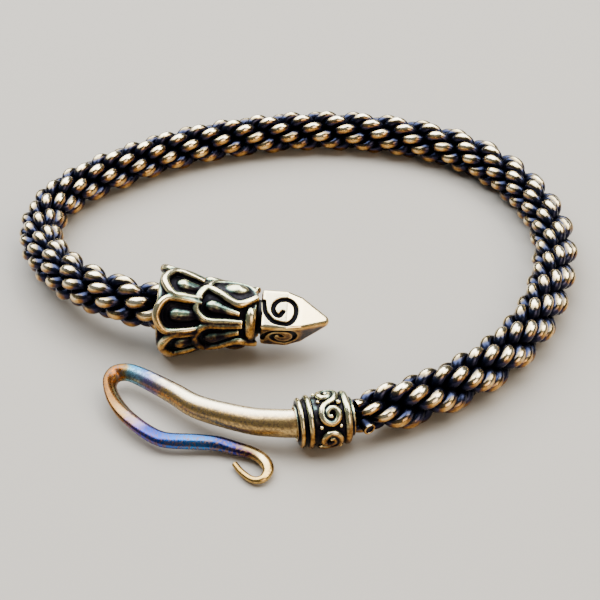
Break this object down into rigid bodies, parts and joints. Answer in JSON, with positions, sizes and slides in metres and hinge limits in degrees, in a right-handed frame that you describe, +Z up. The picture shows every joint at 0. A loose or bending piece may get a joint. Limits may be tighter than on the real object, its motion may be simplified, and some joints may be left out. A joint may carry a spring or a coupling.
{
  "type": "twisted wire rope bracelet with animal head terminal and hook",
  "caption": "Open bracelet of twisted wire rope, with a cast bird's head on one end and, on the other, a scrolled collar with a curled hook that closes it round the wrist.",
  "frame": {"origin": "middle of the bounding box, at the height of the surface that the bracelet lies on", "axes": "+Z up, out of the plane of the bracelet; +Y to the back, away from the ends; +X to the right, the way the beak points"},
  "size_m": [0.0758, 0.0772, 0.0112],
  "materials": {
    "cast_bronze": "cast, blackened in the recesses and polished on the high places",
    "rope_wire": "drawn wire, blackened between the turns and polished on the crowns",
    "hook_bronze": "hammered, satin, with blue and violet heat colours"
  },
  "bodies": {
    "root": {"bird_head": "cast_bronze", "strand_1": "rope_wire", "strand_2": "rope_wire", "strand_3": "rope_wire", "collar": "cast_bronze", "hook": "hook_bronze"}
  },
  "joints": []
}
